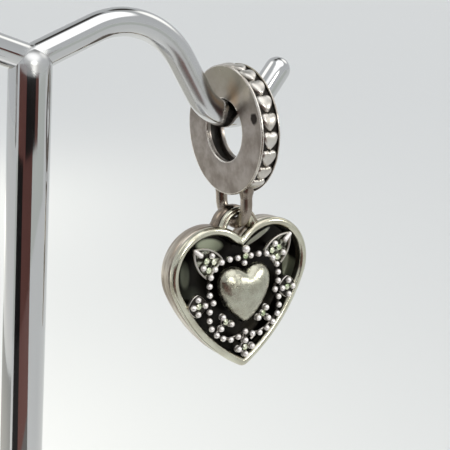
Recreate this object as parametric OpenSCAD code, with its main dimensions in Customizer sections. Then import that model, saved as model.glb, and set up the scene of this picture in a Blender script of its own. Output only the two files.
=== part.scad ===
// Dangle charm with a heart pendant, hanging on a plain wire display stand.
// Millimetres, +Z up. Origin: centre of the foot's underside.
// The stand's arms lie along X, the carrier ring's bore runs along X and the
// pendant's front faces -Y.

/* [Stand] */
// Diameter of the round foot plate
foot_d = 36; // [32:1:44]
// Thickness of the foot plate
foot_t = 3; // [2.6:0.1:4]
// Diameter of the upright post
post_d = 3.1; // [2.8:0.1:3.4]
// Sideways offset of the arms' meeting point from the foot's centre
top_x = 5.2; // [4:0.1:5.6]
// Diameter of the arm wire
wire_d = 2.15; // [2:0.05:2.2]
// Height of the point where the arms meet the post
junction_z = 54.5; // [54.4:0.1:54.6]

/* [Carrier ring] */
// Outer diameter of the carrier ring
ring_od = 10.5; // [10.4:0.1:10.6]
// Thickness of the carrier ring
ring_t = 1.8; // [1.7:0.1:1.9]
// Radius of the ring's bore at its lips
bore_r = 2.5; // [2.5:0.05:2.6]
// Radius of the dark groove inside the bore
groove_r = 2.95; // [2.8:0.05:3.1]
// Number of hearts that would fill the whole rim
rim_count = 22; // [20:1:22]

/* [Hanger loop] */
// Diameter of the U-shaped loop's wire
loop_wire = 0.97; // [0.93:0.01:0.97]
// Radius of the loop's bend, to the middle of the wire
loop_r = 1.8; // [1.8:0.02:1.84]
// Drop from the ring's centre to the middle of the wire at the loop's lowest point
loop_drop = 7.72; // [7.7:0.02:7.8]

/* [Heart pendant] */
// Half distance between the centres of the two lobes
lobe_x = 2.9; // [2.8:0.05:3]
// Radius of each lobe, to the middle of the rim
lobe_r = 3.54; // [3.5:0.02:3.6]
// Radius of each long side
side_r = 14.4; // [14:0.1:15]
// Angle below the horizontal at which a lobe becomes a long side (degrees)
side_a = 22.7; // [22:0.1:24]
// Radius of the lower tip, to the middle of the rim
tip_r = 0.35; // [0.3:0.05:0.45]
// Drop from the loop's lowest wire to the level of the lobes' centres
heart_drop = 3.72; // [3.7:0.02:3.76]
// Front plane of the rim (y)
rim_front = -1.27; // [-1.3:0.01:-1.25]
// Back plane of the case (y)
case_back = 1.0; // [0.95:0.05:1.1]
// Floor of the recess (y)
floor_y = 0.45; // [0.4:0.05:0.5]
// Half width of the rim
rim_half = 0.36; // [0.34:0.01:0.38]

/* [Garland and centre heart] */
// Radius of a small bead
bead_r = 0.26; // [0.24:0.01:0.27]
// Plane of the bead centres (y)
bead_y = -1.4; // [-1.42:0.01:-1.38]
// Radius of a stone
stone_r = 0.25; // [0.2:0.01:0.26]
// Radius of each lobe of the centre heart
dome_r = 1.3; // [1.28:0.01:1.32]

/* [Hidden] */
$fn = 72;

// The post leans by this angle
post_lean = atan(top_x / junction_z);

// Where the charm hangs
hang_x = top_x + 17;
ring_z = 48;
loop_z = ring_z - loop_drop;          // middle of the wire at the loop's lowest point
heart_z = loop_z - heart_drop;        // level of the lobes' centres

// The arm as a chain in the XZ plane, for the right side, from the junction
rise_a = 21.3;      // slope of the first straight
rise_l = 5.39;      // length of the first straight
crest_r = 5.92;     // bend radius of the crest
fall_a = 61;        // slope of the straight down to the hook
fall_l = 3.13;      // its length
hook_r = 3.6;       // bend radius of the hook
tip_a = 49;         // slope of the rising end
tip_l = 2.7;        // its length
function step(p, a, l) = [p[0] + l * cos(a), p[1] + l * sin(a)];
P0 = [0, junction_z];
P1 = step(P0, rise_a, rise_l);
C1 = step(P1, rise_a - 90, crest_r);
P2 = step(C1, 90 - fall_a, crest_r);
P3 = step(P2, -fall_a, fall_l);
C2 = step(P3, 90 - fall_a, hook_r);
P4 = step(C2, tip_a - 90, hook_r);
P5 = step(P4, tip_a, tip_l);

// Heart outline: centre of the right long side, and of the tip circle
side_cx = lobe_x - (side_r - lobe_r) * cos(side_a);
side_cz = (side_r - lobe_r) * sin(side_a);
tip_cz = side_cz - sqrt(pow(side_r - tip_r, 2) - pow(side_cx, 2));
tip_a0 = atan2(tip_cz - side_cz, -side_cx);
function arc(c, r, a0, a1, n) = [for (i = [0 : n]) c + r * [cos(a0 + (a1 - a0) * i / n), sin(a0 + (a1 - a0) * i / n)]];
function but_first(l) = [for (i = [1 : len(l) - 1]) l[i]];
// Right half of the heart's outline, from the notch to the tip, o outside the middle line of the rim
function half_heart(o) = concat(
    arc([lobe_x, 0], lobe_r + o, 180 - acos(lobe_x / (lobe_r + o)), -side_a, 18),
    but_first(arc([side_cx, side_cz], side_r + o, -side_a, tip_r + o > 0.1 ? tip_a0 : -acos(-side_cx / (side_r + o)), 8)),
    tip_r + o > 0.1 ? but_first(arc([0, tip_cz], tip_r + o, tip_a0, -90, 3)) : []);
function heart_pts(o) = let (h = half_heart(o), n = len(h))
    concat(h, [for (i = [n - 2 : -1 : 1]) [-h[i][0], h[i][1]]]);

// ---- small helpers ----
module slab(y0, y1) { translate([0, y1, 0]) rotate([90, 0, 0]) linear_extrude(y1 - y0) children(); }
module rod_y(x, z, r, y0, y1, fn = 32) { translate([x, y1, z]) rotate([90, 0, 0]) cylinder(r = r, h = y1 - y0, $fn = fn); }
// A straight length of wire; its ends run 0.2 mm into the bends beside it
module wire_bar(p, a, l, e0 = 0.2, e1 = 0.2) {
    translate([p[0], 0, p[1]]) rotate([0, 90 - a, 0]) translate([0, 0, -e0]) cylinder(d = wire_d - 0.02, h = l + e0 + e1);
}
module wire_arc(c, r, a0, a1) {
    translate([c[0], 0, c[1]]) rotate([90, 0, 0]) rotate([0, 0, a0])
        rotate_extrude(angle = a1 - a0) translate([r, 0]) circle(d = wire_d, $fn = 48);
}

// ---- stand ----
module stand_foot() {
    color("silver") difference() {
        rotate_extrude()
            polygon([[0, 0], [foot_d / 2 - 0.3, 0], [foot_d / 2, 0.3], [foot_d / 2, foot_t - 0.9],
                     [foot_d / 2 - 0.3, foot_t - 0.3], [foot_d / 2 - 0.9, foot_t], [0, foot_t]]);
        post_axis() translate([0, 0, -junction_z / cos(post_lean) + 0.9]) cylinder(d = post_d + 0.1, h = 10);
    }
}
module post_axis() { translate([top_x, 0, junction_z]) rotate([0, post_lean, 0]) children(); }

module arm() {
    wire_bar(P0, rise_a, rise_l, 0);
    wire_arc(C1, crest_r, 90 - fall_a, 90 + rise_a);
    wire_bar(P2, -fall_a, fall_l);
    wire_arc(C2, hook_r, 270 - fall_a, 270 + tip_a);
    wire_bar(P4, tip_a, tip_l, 0.2, 0);
    translate([P5[0], 0, P5[1]]) sphere(d = wire_d, $fn = 48);
}
module stand_frame() {
    color("gainsboro") {
        translate([top_x, 0, 0]) {
            arm();
            mirror([1, 0, 0]) arm();
        }
        post_axis() {
            translate([0, 0, -0.6]) sphere(d = post_d);
            translate([0, 0, -junction_z / cos(post_lean) + 1.1])
                cylinder(d = post_d, h = junction_z / cos(post_lean) - 1.7);
        }
    }
}

// ---- carrier ring with its hanger loop ----
module at_ring() { translate([hang_x, 0, ring_z]) children(); }
module about_x() { rotate([0, 90, 0]) children(); }
module carrier_ring() {
    h = ring_t / 2;
    ro = ring_od / 2;
    color("darkgray") at_ring() {
        about_x() rotate_extrude($fn = 120)
            polygon([[bore_r + 0.2, -h], [bore_r + 0.05, -h + 0.08], [bore_r, -h + 0.2], [bore_r, -0.48],
                     [groove_r, -0.48], [groove_r, 0.48], [bore_r, 0.48], [bore_r, h - 0.2],
                     [bore_r + 0.05, h - 0.08], [bore_r + 0.2, h],
                     [ro - 0.14, h], [ro - 0.04, h - 0.04], [ro, h - 0.1], [ro - 0.02, h - 0.17],
                     [ro - 0.29, h - 0.18], [ro - 0.29, -h + 0.18],
                     [ro - 0.02, -h + 0.17], [ro, -h + 0.1], [ro - 0.04, -h + 0.04], [ro - 0.14, -h]]);
        hanger_loop();
    }
}
module hanger_loop() {
    bend_z = -loop_drop + loop_r;
    for (s = [-1, 1]) translate([0, s * loop_r, bend_z]) cylinder(d = loop_wire, h = -4.3 - bend_z, $fn = 40);
    translate([0, 0, bend_z]) rotate([0, 90, 0]) rotate([0, 0, -90])
        rotate_extrude(angle = 180) translate([loop_r, 0]) circle(d = loop_wire, $fn = 40);
}

// ---- row of small hearts in the rim channel ----
// The hearts stop short of the loop's two legs.
first_a = 142.8;
shown = 18;
strip_a = 149;
module small_heart() {
    for (s = [-1, 1]) translate([s * 0.32, 0.37]) circle(r = 0.35, $fn = 60);
    polygon([[-0.6, 0.16], [-0.32, 0.5], [0, 0.42], [0.32, 0.5], [0.6, 0.16], [0.38, -0.2], [0.06, -0.73], [-0.06, -0.73], [-0.38, -0.2]]);
}
module rim_hearts() {
    floor_r = ring_od / 2 - 0.29;
    color("gainsboro") at_ring() {
        about_x() rotate([0, 0, strip_a - 180 - 2 * strip_a])
            rotate_extrude(angle = 2 * strip_a, $fn = 120)
                polygon([[floor_r + 0.03, -0.69], [floor_r + 0.11, -0.69], [floor_r + 0.11, 0.69], [floor_r + 0.03, 0.69]]);
        for (k = [0 : shown - 1]) rotate([first_a - k * 360 / rim_count, 0, 0])
            translate([0, 0, floor_r + 0.05]) linear_extrude(0.32) small_heart();
    }
}

// ---- heart pendant ----
module at_heart() { translate([hang_x, 0, heart_z]) children(); }
module heart2d(o) { polygon(heart_pts(o)); }
eye_r = 1.93;      // outside radius of the eyelet
eye_h = 0.98;      // half depth of the eyelet
eye_z = 3.26;      // height of its middle above the lobes' centres
eye_bore = 0.9;    // radius of its hole at the middle
eye_mouth = 1.36;  // radius of the hole's two mouths
eye_bore_z = heart_drop - 0.36;
// A plain band at the back, a groove, and a slim ring at the front
module eyelet_profile() {
    polygon([[0, -eye_h], [1.54, -eye_h], [1.62, -0.92], [1.7, -0.92], [1.78, -0.95], [1.86, -0.84], [1.88, -0.6], [1.8, -0.42],
             [1.68, -0.34], [1.68, -0.24], [1.8, -0.12], [1.9, 0.05], [eye_r, 0.25], [eye_r, 0.5], [1.87, 0.74], [1.72, 0.92],
             [1.6, eye_h], [0, eye_h]]);
}
module eyelet_bore_profile() {
    polygon([[0, -1.4], [eye_mouth + 0.06, -1.4], [eye_mouth + 0.06, -eye_h - 0.01], [eye_mouth, -eye_h + 0.06], [1.21, -0.82], [1.08, -0.65],
             [0.99, -0.45], [eye_bore + 0.02, -0.2], [eye_bore, 0], [eye_bore + 0.02, 0.2], [0.99, 0.45],
             [1.08, 0.65], [1.21, 0.82], [eye_mouth, eye_h - 0.06], [eye_mouth + 0.06, eye_h + 0.01], [eye_mouth + 0.06, 1.4], [0, 1.4]]);
}
module about_y() { rotate([-90, 0, 0]) children(); }
module heart_case() {
    color("dimgray") at_heart() difference() {
        union() {
            slab(rim_front, rim_front + 0.2) heart2d(0.2);
            slab(rim_front + 0.2, -0.5) heart2d(rim_half);
            slab(-0.5, -0.4) heart2d(0.2);
            slab(-0.4, 0.7) heart2d(0.3);
            slab(0.7, case_back - 0.1) heart2d(0.15);
            slab(case_back - 0.1, case_back) heart2d(-0.1);
            difference() {
                translate([0, 0, eye_z]) about_y() rotate_extrude() eyelet_profile();
                translate([0, 0, eye_bore_z]) about_y() rotate_extrude() eyelet_bore_profile();
                // below this level the eyelet's arms lie wholly inside the lobes
                translate([-3, -2, -1]) cube([6, 4, 3.75]);
            }
        }
        slab(rim_front - 1, rim_front + 0.2) heart2d(-0.2);
        slab(rim_front + 0.1, floor_y) heart2d(-rim_half);
    }
}

// ---- beaded garland ----
// Right half of the bead frame, from the top: columns x, z
FRAME = [[1.45, 1.07], [2.25, 0.95], [2.9, 0.48], [3.32, -0.14], [3.46, -0.87], [3.46, -1.63], [3.13, -2.34],
         [3.5, -3.05], [3.54, -3.8], [3.35, -4.53], [2.86, -5.18], [2.23, -5.6], [1.48, -5.86], [0.72, -5.78]];
// Beads of the flowers, leaves and trios on the right half: columns x, z
SIDE_BEADS = [[0.65, 1.06], [4.58, -1.8], [5.03, -2.4], [4.6, -3.03], [3.92, -2.4],
              [0.68, -6.9], [2.2, -3.77], [1.37, -4.52], [2.4, -4.73],
              [4.36, 1.97], [3.16, 1.66], [4.0, 0.76]];
// Beads on the middle line: columns x, z
MID_BEADS = [[0, 0.54], [0, -5.44], [0, -6.23], [0, -7.45]];
// Stones on the right half and on the middle line: columns x, z
SIDE_STONES = [[4.48, -2.4], [1.9, -4.24], [3.62, 1.27], [2.92, 1.1], [3.45, 0.46]];
MID_STONES = [[0, 1.18], [0, -6.85]];
plate_f = -1.28;    // front of the thin backing
plate_b = -1.04;    // back of the thin backing
peg_end = floor_y - 0.03;

module bead(p, r = bead_r, y = bead_y) { translate([p[0], y, p[1]]) sphere(r = r, $fn = 32); }
module link(p, q) {
    l = norm(q - p);
    a = atan2(q[1] - p[1], q[0] - p[0]);
    translate([(p[0] + q[0]) / 2, (plate_f + plate_b) / 2, (p[1] + q[1]) / 2]) rotate([0, -a, 0])
        cube([l, plate_b - plate_f, 0.24], center = true);
}
leaf_tip = [4.8, 2.36];
leaf_dir = 224;
module leaf2d(o) {
    translate(leaf_tip) rotate(leaf_dir) intersection() {
        translate([2.2, 1.61]) circle(r = 2.73 + o, $fn = 96);
        translate([2.2, -1.61]) circle(r = 2.73 + o, $fn = 96);
        translate([-0.4, -2]) square([3.2, 4]);
    }
}
module garland_half() {
    for (i = [0 : len(FRAME) - 2]) link(FRAME[i], FRAME[i + 1]);
    for (p = FRAME) bead(p);
    for (p = SIDE_BEADS) bead(p);
    link([0.65, 1.06], FRAME[0]);
    link(FRAME[6], [4.48, -2.4]);
    rod_y(4.48, -2.4, 0.56, plate_f, plate_b);
    rod_y(1.95, -4.34, 0.56, plate_f, plate_b);
    link([1.95, -4.34], [2.86, -5.18]);
    link(FRAME[13], [0, -5.44]);
    slab(plate_f, plate_b) leaf2d(-0.02);
    slab(bead_y - 0.02, plate_b) difference() { leaf2d(-0.02); leaf2d(-0.16); }
    rod_y(4.48, -2.4, 0.22, plate_f + 0.1, peg_end);
    rod_y(3.5, 1.1, 0.22, plate_f + 0.1, peg_end);
}
module bead_garland() {
    color("gainsboro") at_heart() {
        garland_half();
        mirror([1, 0, 0]) garland_half();
        for (p = MID_BEADS) bead(p);
        link([-0.65, 1.06], [0, 0.54]);
        link([0, 0.54], [0.65, 1.06]);
        rod_y(0, 0.8, 0.42, plate_f, plate_b);
        link([0, -5.44], [0, -6.4]);
        rod_y(0, -6.85, 0.56, plate_f, plate_b);
        link([0, -6.85], [0, -7.45]);
        rod_y(0, -6.5, 0.22, plate_f + 0.1, peg_end);
        bead([0, 1.76], 0.34, -1.66);
        translate([0, -1.44, 1.3]) cube([0.24, 0.22, 1.1], center = true);
    }
}
module clear_stones() {
    color("white") at_heart() {
        for (p = SIDE_STONES, s = [-1, 1]) stone([s * p[0], p[1]], plate_f - 0.02);
        stone(MID_STONES[0], -1.57);
        stone(MID_STONES[1], plate_f - 0.02);
    }
}
module stone(p, y) {
    translate([p[0], y, p[1]]) rotate([90, 0, 0]) rotate_extrude($fn = 24)
        polygon([[0, 0], [stone_r - 0.05, 0], [stone_r, 0.06], [stone_r, 0.12], [0.14, 0.22], [0, 0.22]]);
}

// ---- domed centre heart ----
centre_x = 0.1;
module centre_heart() {
    color("lightgray") at_heart() {
        translate([centre_x, 0, 0]) intersection() {
            union() for (s = [-1, 1]) hull() {
                translate([s * 1.28, -0.92, -1]) sphere(r = dome_r, $fn = 40);
                translate([s * 0.84, -0.84, -2]) sphere(r = 1.4, $fn = 40);
                translate([0, -0.92, -4.44]) sphere(r = 0.34, $fn = 24);
            }
            translate([-4, -3, -6]) cube([8, 3 - 0.95, 8]);
        }
        rod_y(0, -1.6, 0.7, -1.2, peg_end);
    }
}

stand_foot();
stand_frame();
carrier_ring();
rim_hearts();
heart_case();
bead_garland();
centre_heart();
clear_stones();
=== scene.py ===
import math

import bpy
import bmesh
import numpy as np
from mathutils import Matrix


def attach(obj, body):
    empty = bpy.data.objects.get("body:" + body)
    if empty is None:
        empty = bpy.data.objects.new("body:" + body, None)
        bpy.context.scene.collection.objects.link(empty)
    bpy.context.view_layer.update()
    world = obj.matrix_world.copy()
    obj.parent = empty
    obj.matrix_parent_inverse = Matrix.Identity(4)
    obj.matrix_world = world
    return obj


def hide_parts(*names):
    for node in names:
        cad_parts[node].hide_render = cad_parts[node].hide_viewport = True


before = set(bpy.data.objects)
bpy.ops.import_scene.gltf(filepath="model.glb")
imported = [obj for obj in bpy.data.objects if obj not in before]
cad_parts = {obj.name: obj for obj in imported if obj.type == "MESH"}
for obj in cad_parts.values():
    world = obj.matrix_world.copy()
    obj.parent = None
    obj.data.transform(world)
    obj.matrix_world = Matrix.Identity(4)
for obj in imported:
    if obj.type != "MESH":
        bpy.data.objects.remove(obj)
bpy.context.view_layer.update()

# ------------------------------------------------------------------ sizes, in mm, in the row frame
TOP_X = 5.2
HANG_X = TOP_X + 17
RING_Z = 48.0
LOOP_DROP = 7.72
LOOP_R = 1.8
LOOP_WIRE = 0.485
LOOP_Z = RING_Z - LOOP_DROP
HEART_Z = LOOP_Z - 3.72
JUNCTION_Z = 54.5
WIRE_R = 1.075
POST_R = 1.55


def rad(a):
    return a * math.pi / 180


# ------------------------------------------------------------------ mesh helpers
def make(name, verts, faces, sharp=None, closed=True):
    """One mesh object from points in mm. sharp is the angle in degrees above which edges stay crisp."""
    me = bpy.data.meshes.new(name)
    me.from_pydata([tuple(float(c) * 0.001 for c in v) for v in verts], [], [tuple(int(i) for i in f) for f in faces])
    me.update()
    bm = bmesh.new()
    bm.from_mesh(me)
    bmesh.ops.remove_doubles(bm, verts=bm.verts, dist=1e-7)
    bmesh.ops.dissolve_degenerate(bm, edges=bm.edges, dist=1e-8)
    if closed:
        bmesh.ops.recalc_face_normals(bm, faces=bm.faces)
    bm.to_mesh(me)
    bm.free()
    for p in me.polygons:
        p.use_smooth = True
    if sharp is not None:
        me.set_sharp_from_angle(angle=rad(sharp))
    ob = bpy.data.objects.new(name, me)
    bpy.context.scene.collection.objects.link(ob)
    return ob


def bridge(rows, n, wrap=True):
    """Quads between consecutive rows of n points each."""
    faces = []
    for k in range(rows - 1):
        for i in range(n if wrap else n - 1):
            j = (i + 1) % n
            faces.append((k * n + i, k * n + j, (k + 1) * n + j, (k + 1) * n + i))
    return faces


class Parts:
    """Collects closed shells into one mesh."""

    def __init__(self):
        self.v, self.f = [], []

    def add(self, verts, faces):
        base = len(self.v)
        self.v.extend([tuple(p) for p in np.asarray(verts, float)])
        self.f.extend([tuple(i + base for i in f) for f in faces])
        return base

    def object(self, name, sharp=None):
        return make(name, self.v, self.f, sharp)


def lathe(profile, n):
    """Points of a profile (radius, height) turned about Z; a radius of 0 is a pole."""
    verts, rings, faces = [], [], []
    for r, h in profile:
        if r < 1e-9:
            rings.append([len(verts)])
            verts.append((0, 0, h))
        else:
            rings.append(list(range(len(verts), len(verts) + n)))
            for i in range(n):
                a = 2 * math.pi * i / n
                verts.append((r * math.cos(a), r * math.sin(a), h))
    return np.array(verts, float), rings


def ring_faces(rings, closed_profile=False):
    faces = []
    pairs = list(zip(rings, rings[1:]))
    if closed_profile:
        pairs.append((rings[-1], rings[0]))
    for a, b in pairs:
        n = max(len(a), len(b))
        for i in range(n):
            j = (i + 1) % n
            if len(a) == 1 and len(b) == 1:
                continue
            if len(a) == 1:
                faces.append((a[0], b[j], b[i]))
            elif len(b) == 1:
                faces.append((a[i], a[j], b[0]))
            else:
                faces.append((a[i], a[j], b[j], b[i]))
    return faces


def about_x(p):
    """A shape turned about Z becomes one turned about X."""
    p = np.asarray(p, float)
    return np.stack([p[:, 2], p[:, 0], p[:, 1]], 1)


def about_y(p):
    p = np.asarray(p, float)
    return np.stack([p[:, 0], p[:, 2], p[:, 1]], 1)


def moved(p, x=0, y=0, z=0):
    return np.asarray(p, float) + np.array([x, y, z])


def sweep(path, tangents, side, radius, n=32, cap=(8, 8)):
    """A round wire along a plane path. side is the direction square to the path's plane. cap is the number of rings in each rounded end; 0 is a flat end."""
    path = np.asarray(path, float)
    tangents = np.asarray(tangents, float)
    side = np.asarray(side, float)
    a = 2 * math.pi * np.arange(n) / n
    verts, rings = [], []

    def ring(c, t, r):
        up = np.cross(side, t)
        rings.append(list(range(len(verts), len(verts) + n)))
        for k in a:
            verts.append(c + r * (math.cos(k) * up + math.sin(k) * side))

    def pole(c):
        rings.append([len(verts)])
        verts.append(c)

    t = tangents[0]
    if cap[0]:
        pole(path[0] - radius * t)
        for k in range(1, cap[0]):
            b = math.pi / 2 * k / cap[0]
            ring(path[0] - radius * math.cos(b) * t, t, radius * math.sin(b))
    else:
        pole(path[0])
    for c, t in zip(path, tangents):
        ring(c, t, radius)
    if cap[1]:
        for k in range(cap[1] - 1, 0, -1):
            b = math.pi / 2 * k / cap[1]
            ring(path[-1] + radius * math.cos(b) * t, t, radius * math.sin(b))
        pole(path[-1] + radius * t)
    else:
        pole(path[-1])
    return np.array(verts), ring_faces(rings)


def ball(c, r, n=20, m=12, squash=1.0):
    prof = [(r * math.sin(math.pi * k / m) if 0 < k < m else 0.0, -r * math.cos(math.pi * k / m)) for k in range(m + 1)]
    v, rings = lathe(prof, n)
    v = about_y(v)
    v[:, 1] *= squash
    return moved(v, *c), ring_faces(rings)


# ------------------------------------------------------------------ stand
def arm_line():
    """Middle line of one arm in its own plane, from the junction outward: points and directions."""
    pts, tan = [], []

    def straight(p, a, length, k):
        for i in range(k):
            t = length * i / k
            pts.append((p[0] + t * math.cos(rad(a)), p[1] + t * math.sin(rad(a))))
            tan.append((math.cos(rad(a)), math.sin(rad(a))))
        return (p[0] + length * math.cos(rad(a)), p[1] + length * math.sin(rad(a)))

    def bend(p, a0, a1, r, k):
        s = 1 if a1 > a0 else -1
        cx, cz = p[0] - s * r * math.sin(rad(a0)), p[1] + s * r * math.cos(rad(a0))
        for i in range(k):
            a = rad(a0 + (a1 - a0) * i / k)
            pts.append((cx + s * r * math.sin(a), cz - s * r * math.cos(a)))
            tan.append((math.cos(a), math.sin(a)))
        a = rad(a1)
        return (cx + s * r * math.sin(a), cz - s * r * math.cos(a))

    p = (0.0, JUNCTION_Z)
    p = straight(p, 21.3, 5.39, 8)
    p = bend(p, 21.3, -61, 5.92, 28)
    p = straight(p, -61, 3.13, 4)
    p = bend(p, -61, 49, 3.6, 36)
    p = straight(p, 49, 2.7, 4)
    pts.append(p)
    tan.append((math.cos(rad(49)), math.sin(rad(49))))
    return np.array(pts), np.array(tan)


def stand_frame():
    pts, tan = arm_line()
    right = np.stack([pts[:, 0], 0 * pts[:, 0], pts[:, 1]], 1)
    tr = np.stack([tan[:, 0], 0 * tan[:, 0], tan[:, 1]], 1)
    left = right[::-1] * np.array([-1, 1, 1])
    tl = tr[::-1] * np.array([1, 1, -1])
    path = np.concatenate([left[:-1], right])
    tans = np.concatenate([tl[:-1], tr])
    mid = len(left) - 1
    tans[mid] = (1, 0, 0)
    v, f = sweep(path, tans, (0, -1, 0), WIRE_R, 48, (10, 10))
    # the two straight wires meet in a mitre at the junction
    n = 48
    start = 1 + 9 * n + mid * n
    ring = v[start:start + n]
    c = path[mid]
    ring[:, 2] = c[2] + (ring[:, 2] - c[2]) / math.cos(rad(21.3))
    v[start:start + n] = ring
    parts = Parts()
    parts.add(moved(v, TOP_X), f)
    lean = math.atan(TOP_X / JUNCTION_Z)
    length = JUNCTION_Z / math.cos(lean)
    r = POST_R
    prof = [(0, -length + 1.1), (r - 0.1, -length + 1.1), (r, -length + 1.2)]
    prof += [(r, -length + 4 + (length - 4.3) * k / 12) for k in range(13)]
    prof += [(r * math.cos(rad(a)), -0.3 + 1.25 * math.sin(rad(a))) for a in range(8, 90, 8)]
    prof += [(0, 0.95)]
    v, rings = lathe(prof, 64)
    x = v[:, 0] * math.cos(lean) + v[:, 2] * math.sin(lean)
    z = -v[:, 0] * math.sin(lean) + v[:, 2] * math.cos(lean)
    v = np.stack([x + TOP_X, v[:, 1], z + JUNCTION_Z], 1)
    parts.add(v, ring_faces(rings))
    return parts.object("stand_post_and_arms", 40)


def stand_foot():
    R, T = 18.0, 3.0
    e = 0.6
    prof = [(0, 0), (R - 0.4, 0), (R - 0.12, 0.1), (R, 0.35), (R, T - e)]
    prof += [(R - e + e * math.cos(rad(a)), T - e + e * math.sin(rad(a))) for a in range(15, 91, 15)]
    prof += [(R * k / 8, T) for k in range(7, 0, -1)]
    # the socket for the post is a shallow round hole
    prof = prof[:-1] + [(2.4, T), (1.75, T), (1.68, T - 0.08), (1.68, 0.9), (0, 0.9)]
    v, rings = lathe(prof, 160)
    # the socket's mouth follows the leaning post
    lean = TOP_X / JUNCTION_Z
    near = np.hypot(v[:, 0], v[:, 1]) < 1.9
    v[near, 0] += v[near, 2] * lean
    return make("stand_foot_plate", v, ring_faces(rings), 35)


# ------------------------------------------------------------------ carrier ring and hanger loop
def carrier_ring():
    def fillet(c, r, a0, a1, k):
        return [(c[0] + r * math.cos(rad(a0 + (a1 - a0) * i / k)), c[1] + r * math.sin(rad(a0 + (a1 - a0) * i / k))) for i in range(k + 1)]

    h, ro, rb, rg = 0.9, 5.25, 2.5, 2.95
    half = []
    # (radius, x) from the groove's middle outward round one side to the rim channel's middle
    half += [(rg, 0.0), (rg, 0.4), (rg - 0.02, 0.46)]
    half += fillet((rb + 0.05, 0.53), 0.05, -90, -180, 3)[::1]
    half += [(rb, 0.6)]
    half += fillet((rb + 0.13, h - 0.13), 0.13, 180, 90, 5)
    half += [(2.9 + 0.35 * k, h) for k in range(1, 6)]
    half += fillet((ro - 0.14, h - 0.14), 0.14, 90, 0, 6)
    half += fillet((ro - 0.05, h - 0.14), 0.05, 0, -90, 4)[1:]
    half += [(ro - 0.1, h - 0.195), (4.98, 0.69), (4.955, 0.66), (4.955, 0.3)]
    other = [(r, -x) for r, x in half[::-1]]
    prof = half + other[:-1]
    v, rings = lathe(prof, 200)
    parts = Parts()
    parts.add(moved(about_x(v), HANG_X, 0, RING_Z), ring_faces(rings, True))
    # hanger loop: a U of round wire under the ring, with a small solder collar on each leg
    zb = -LOOP_DROP + LOOP_R
    path, tan = [], []
    for k in range(6):
        path.append((0, -LOOP_R, -4.35 + (zb + 4.35) * k / 6))
        tan.append((0, 0, -1))
    for k in range(33):
        a = math.pi * k / 32
        path.append((0, -LOOP_R * math.cos(a), zb - LOOP_R * math.sin(a)))
        tan.append((0, math.sin(a), -math.cos(a)))
    for k in range(1, 7):
        path.append((0, LOOP_R, zb + (-4.35 - zb) * k / 6))
        tan.append((0, 0, 1))
    v, f = sweep(path, tan, (1, 0, 0), LOOP_WIRE, 32, (0, 0))
    parts.add(moved(v, HANG_X, 0, RING_Z), f)
    for s in (-1, 1):
        prof = [(0, -4.2), (0.64, -4.2), (0.64, -4.75), (0.6, -4.93), (0.545, -5.1), (0.505, -5.3), (0.48, -5.42), (0.4, -5.43), (0, -5.43)]
        v, rings = lathe(prof, 32)
        parts.add(moved(v, HANG_X, s * LOOP_R, RING_Z), ring_faces(rings))
    return parts.object("ring_bail", 38)


# ------------------------------------------------------------------ domed plates
def bezier(p0, p1, p2, p3, n):
    t = np.linspace(0, 1, n, endpoint=False)[:, None]
    p0, p1, p2, p3 = (np.array(p, float) for p in (p0, p1, p2, p3))
    return (1 - t) ** 3 * p0 + 3 * (1 - t) ** 2 * t * p1 + 3 * (1 - t) * t * t * p2 + t ** 3 * p3


def resample(p, n):
    """n points evenly along a closed outline, starting at its first point."""
    q = np.concatenate([p, p[:1]])
    s = np.concatenate([[0], np.cumsum(np.hypot(*(q[1:] - q[:-1]).T))])
    t = np.linspace(0, s[-1], n, endpoint=False)
    return np.stack([np.interp(t, s, q[:, 0]), np.interp(t, s, q[:, 1])], 1)


def cushion(outline, centre, rings, power=0.5):
    """A puffed surface over a flat outline: the height of a film held at the outline, from 0 to 1.
    Gives flat points, heights and faces, with the outline's points first."""
    n = len(outline)
    s = np.sin(np.linspace(0, 1, rings, endpoint=False) * math.pi / 2)
    pts = [outline * (1 - k) + np.array(centre) * k for k in s]
    pts = np.concatenate(pts + [np.array([centre], float)])
    faces = []
    for k in range(rings - 1):
        for i in range(n):
            j = (i + 1) % n
            faces.append((k * n + i, k * n + j, (k + 1) * n + j, (k + 1) * n + i))
    last = (rings - 1) * n
    for i in range(n):
        faces.append((last + i, last + (i + 1) % n, len(pts) - 1))
    tris = []
    for f in faces:
        tris.append((f[0], f[1], f[2]))
        if len(f) == 4:
            tris.append((f[0], f[2], f[3]))
    tris = np.array(tris)
    m = len(pts)
    L = np.zeros((m, m))
    area = np.zeros(m)
    for a, b, c in ((0, 1, 2), (1, 2, 0), (2, 0, 1)):
        i, j, k = tris[:, a], tris[:, b], tris[:, c]
        u, w = pts[j] - pts[i], pts[k] - pts[i]
        cross = np.abs(u[:, 0] * w[:, 1] - u[:, 1] * w[:, 0]) + 1e-12
        cot = (u * w).sum(1) / cross / 2
        np.add.at(L, (j, j), cot)
        np.add.at(L, (k, k), cot)
        np.add.at(L, (j, k), -cot)
        np.add.at(L, (k, j), -cot)
        np.add.at(area, i, cross / 6)
    free = np.arange(n, m)
    u = np.zeros(m)
    u[free] = np.linalg.solve(L[np.ix_(free, free)], area[free])
    u = np.clip(u / u.max(), 0, 1) ** power
    return pts, u, faces


def small_heart_outline(n=44):
    right = np.concatenate([
        bezier((0, 0.62), (0.04, 0.68), (0.16, 0.72), (0.33, 0.72), 10),
        bezier((0.33, 0.72), (0.58, 0.72), (0.7, 0.56), (0.7, 0.32), 10),
        bezier((0.7, 0.32), (0.7, -0.04), (0.44, -0.42), (0.12, -0.67), 14),
        bezier((0.12, -0.67), (0.07, -0.71), (0.03, -0.72), (0, -0.72), 4)])
    left = right[::-1] * np.array([-1, 1])
    return resample(np.concatenate([right, left[:-1]]), n)


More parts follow.
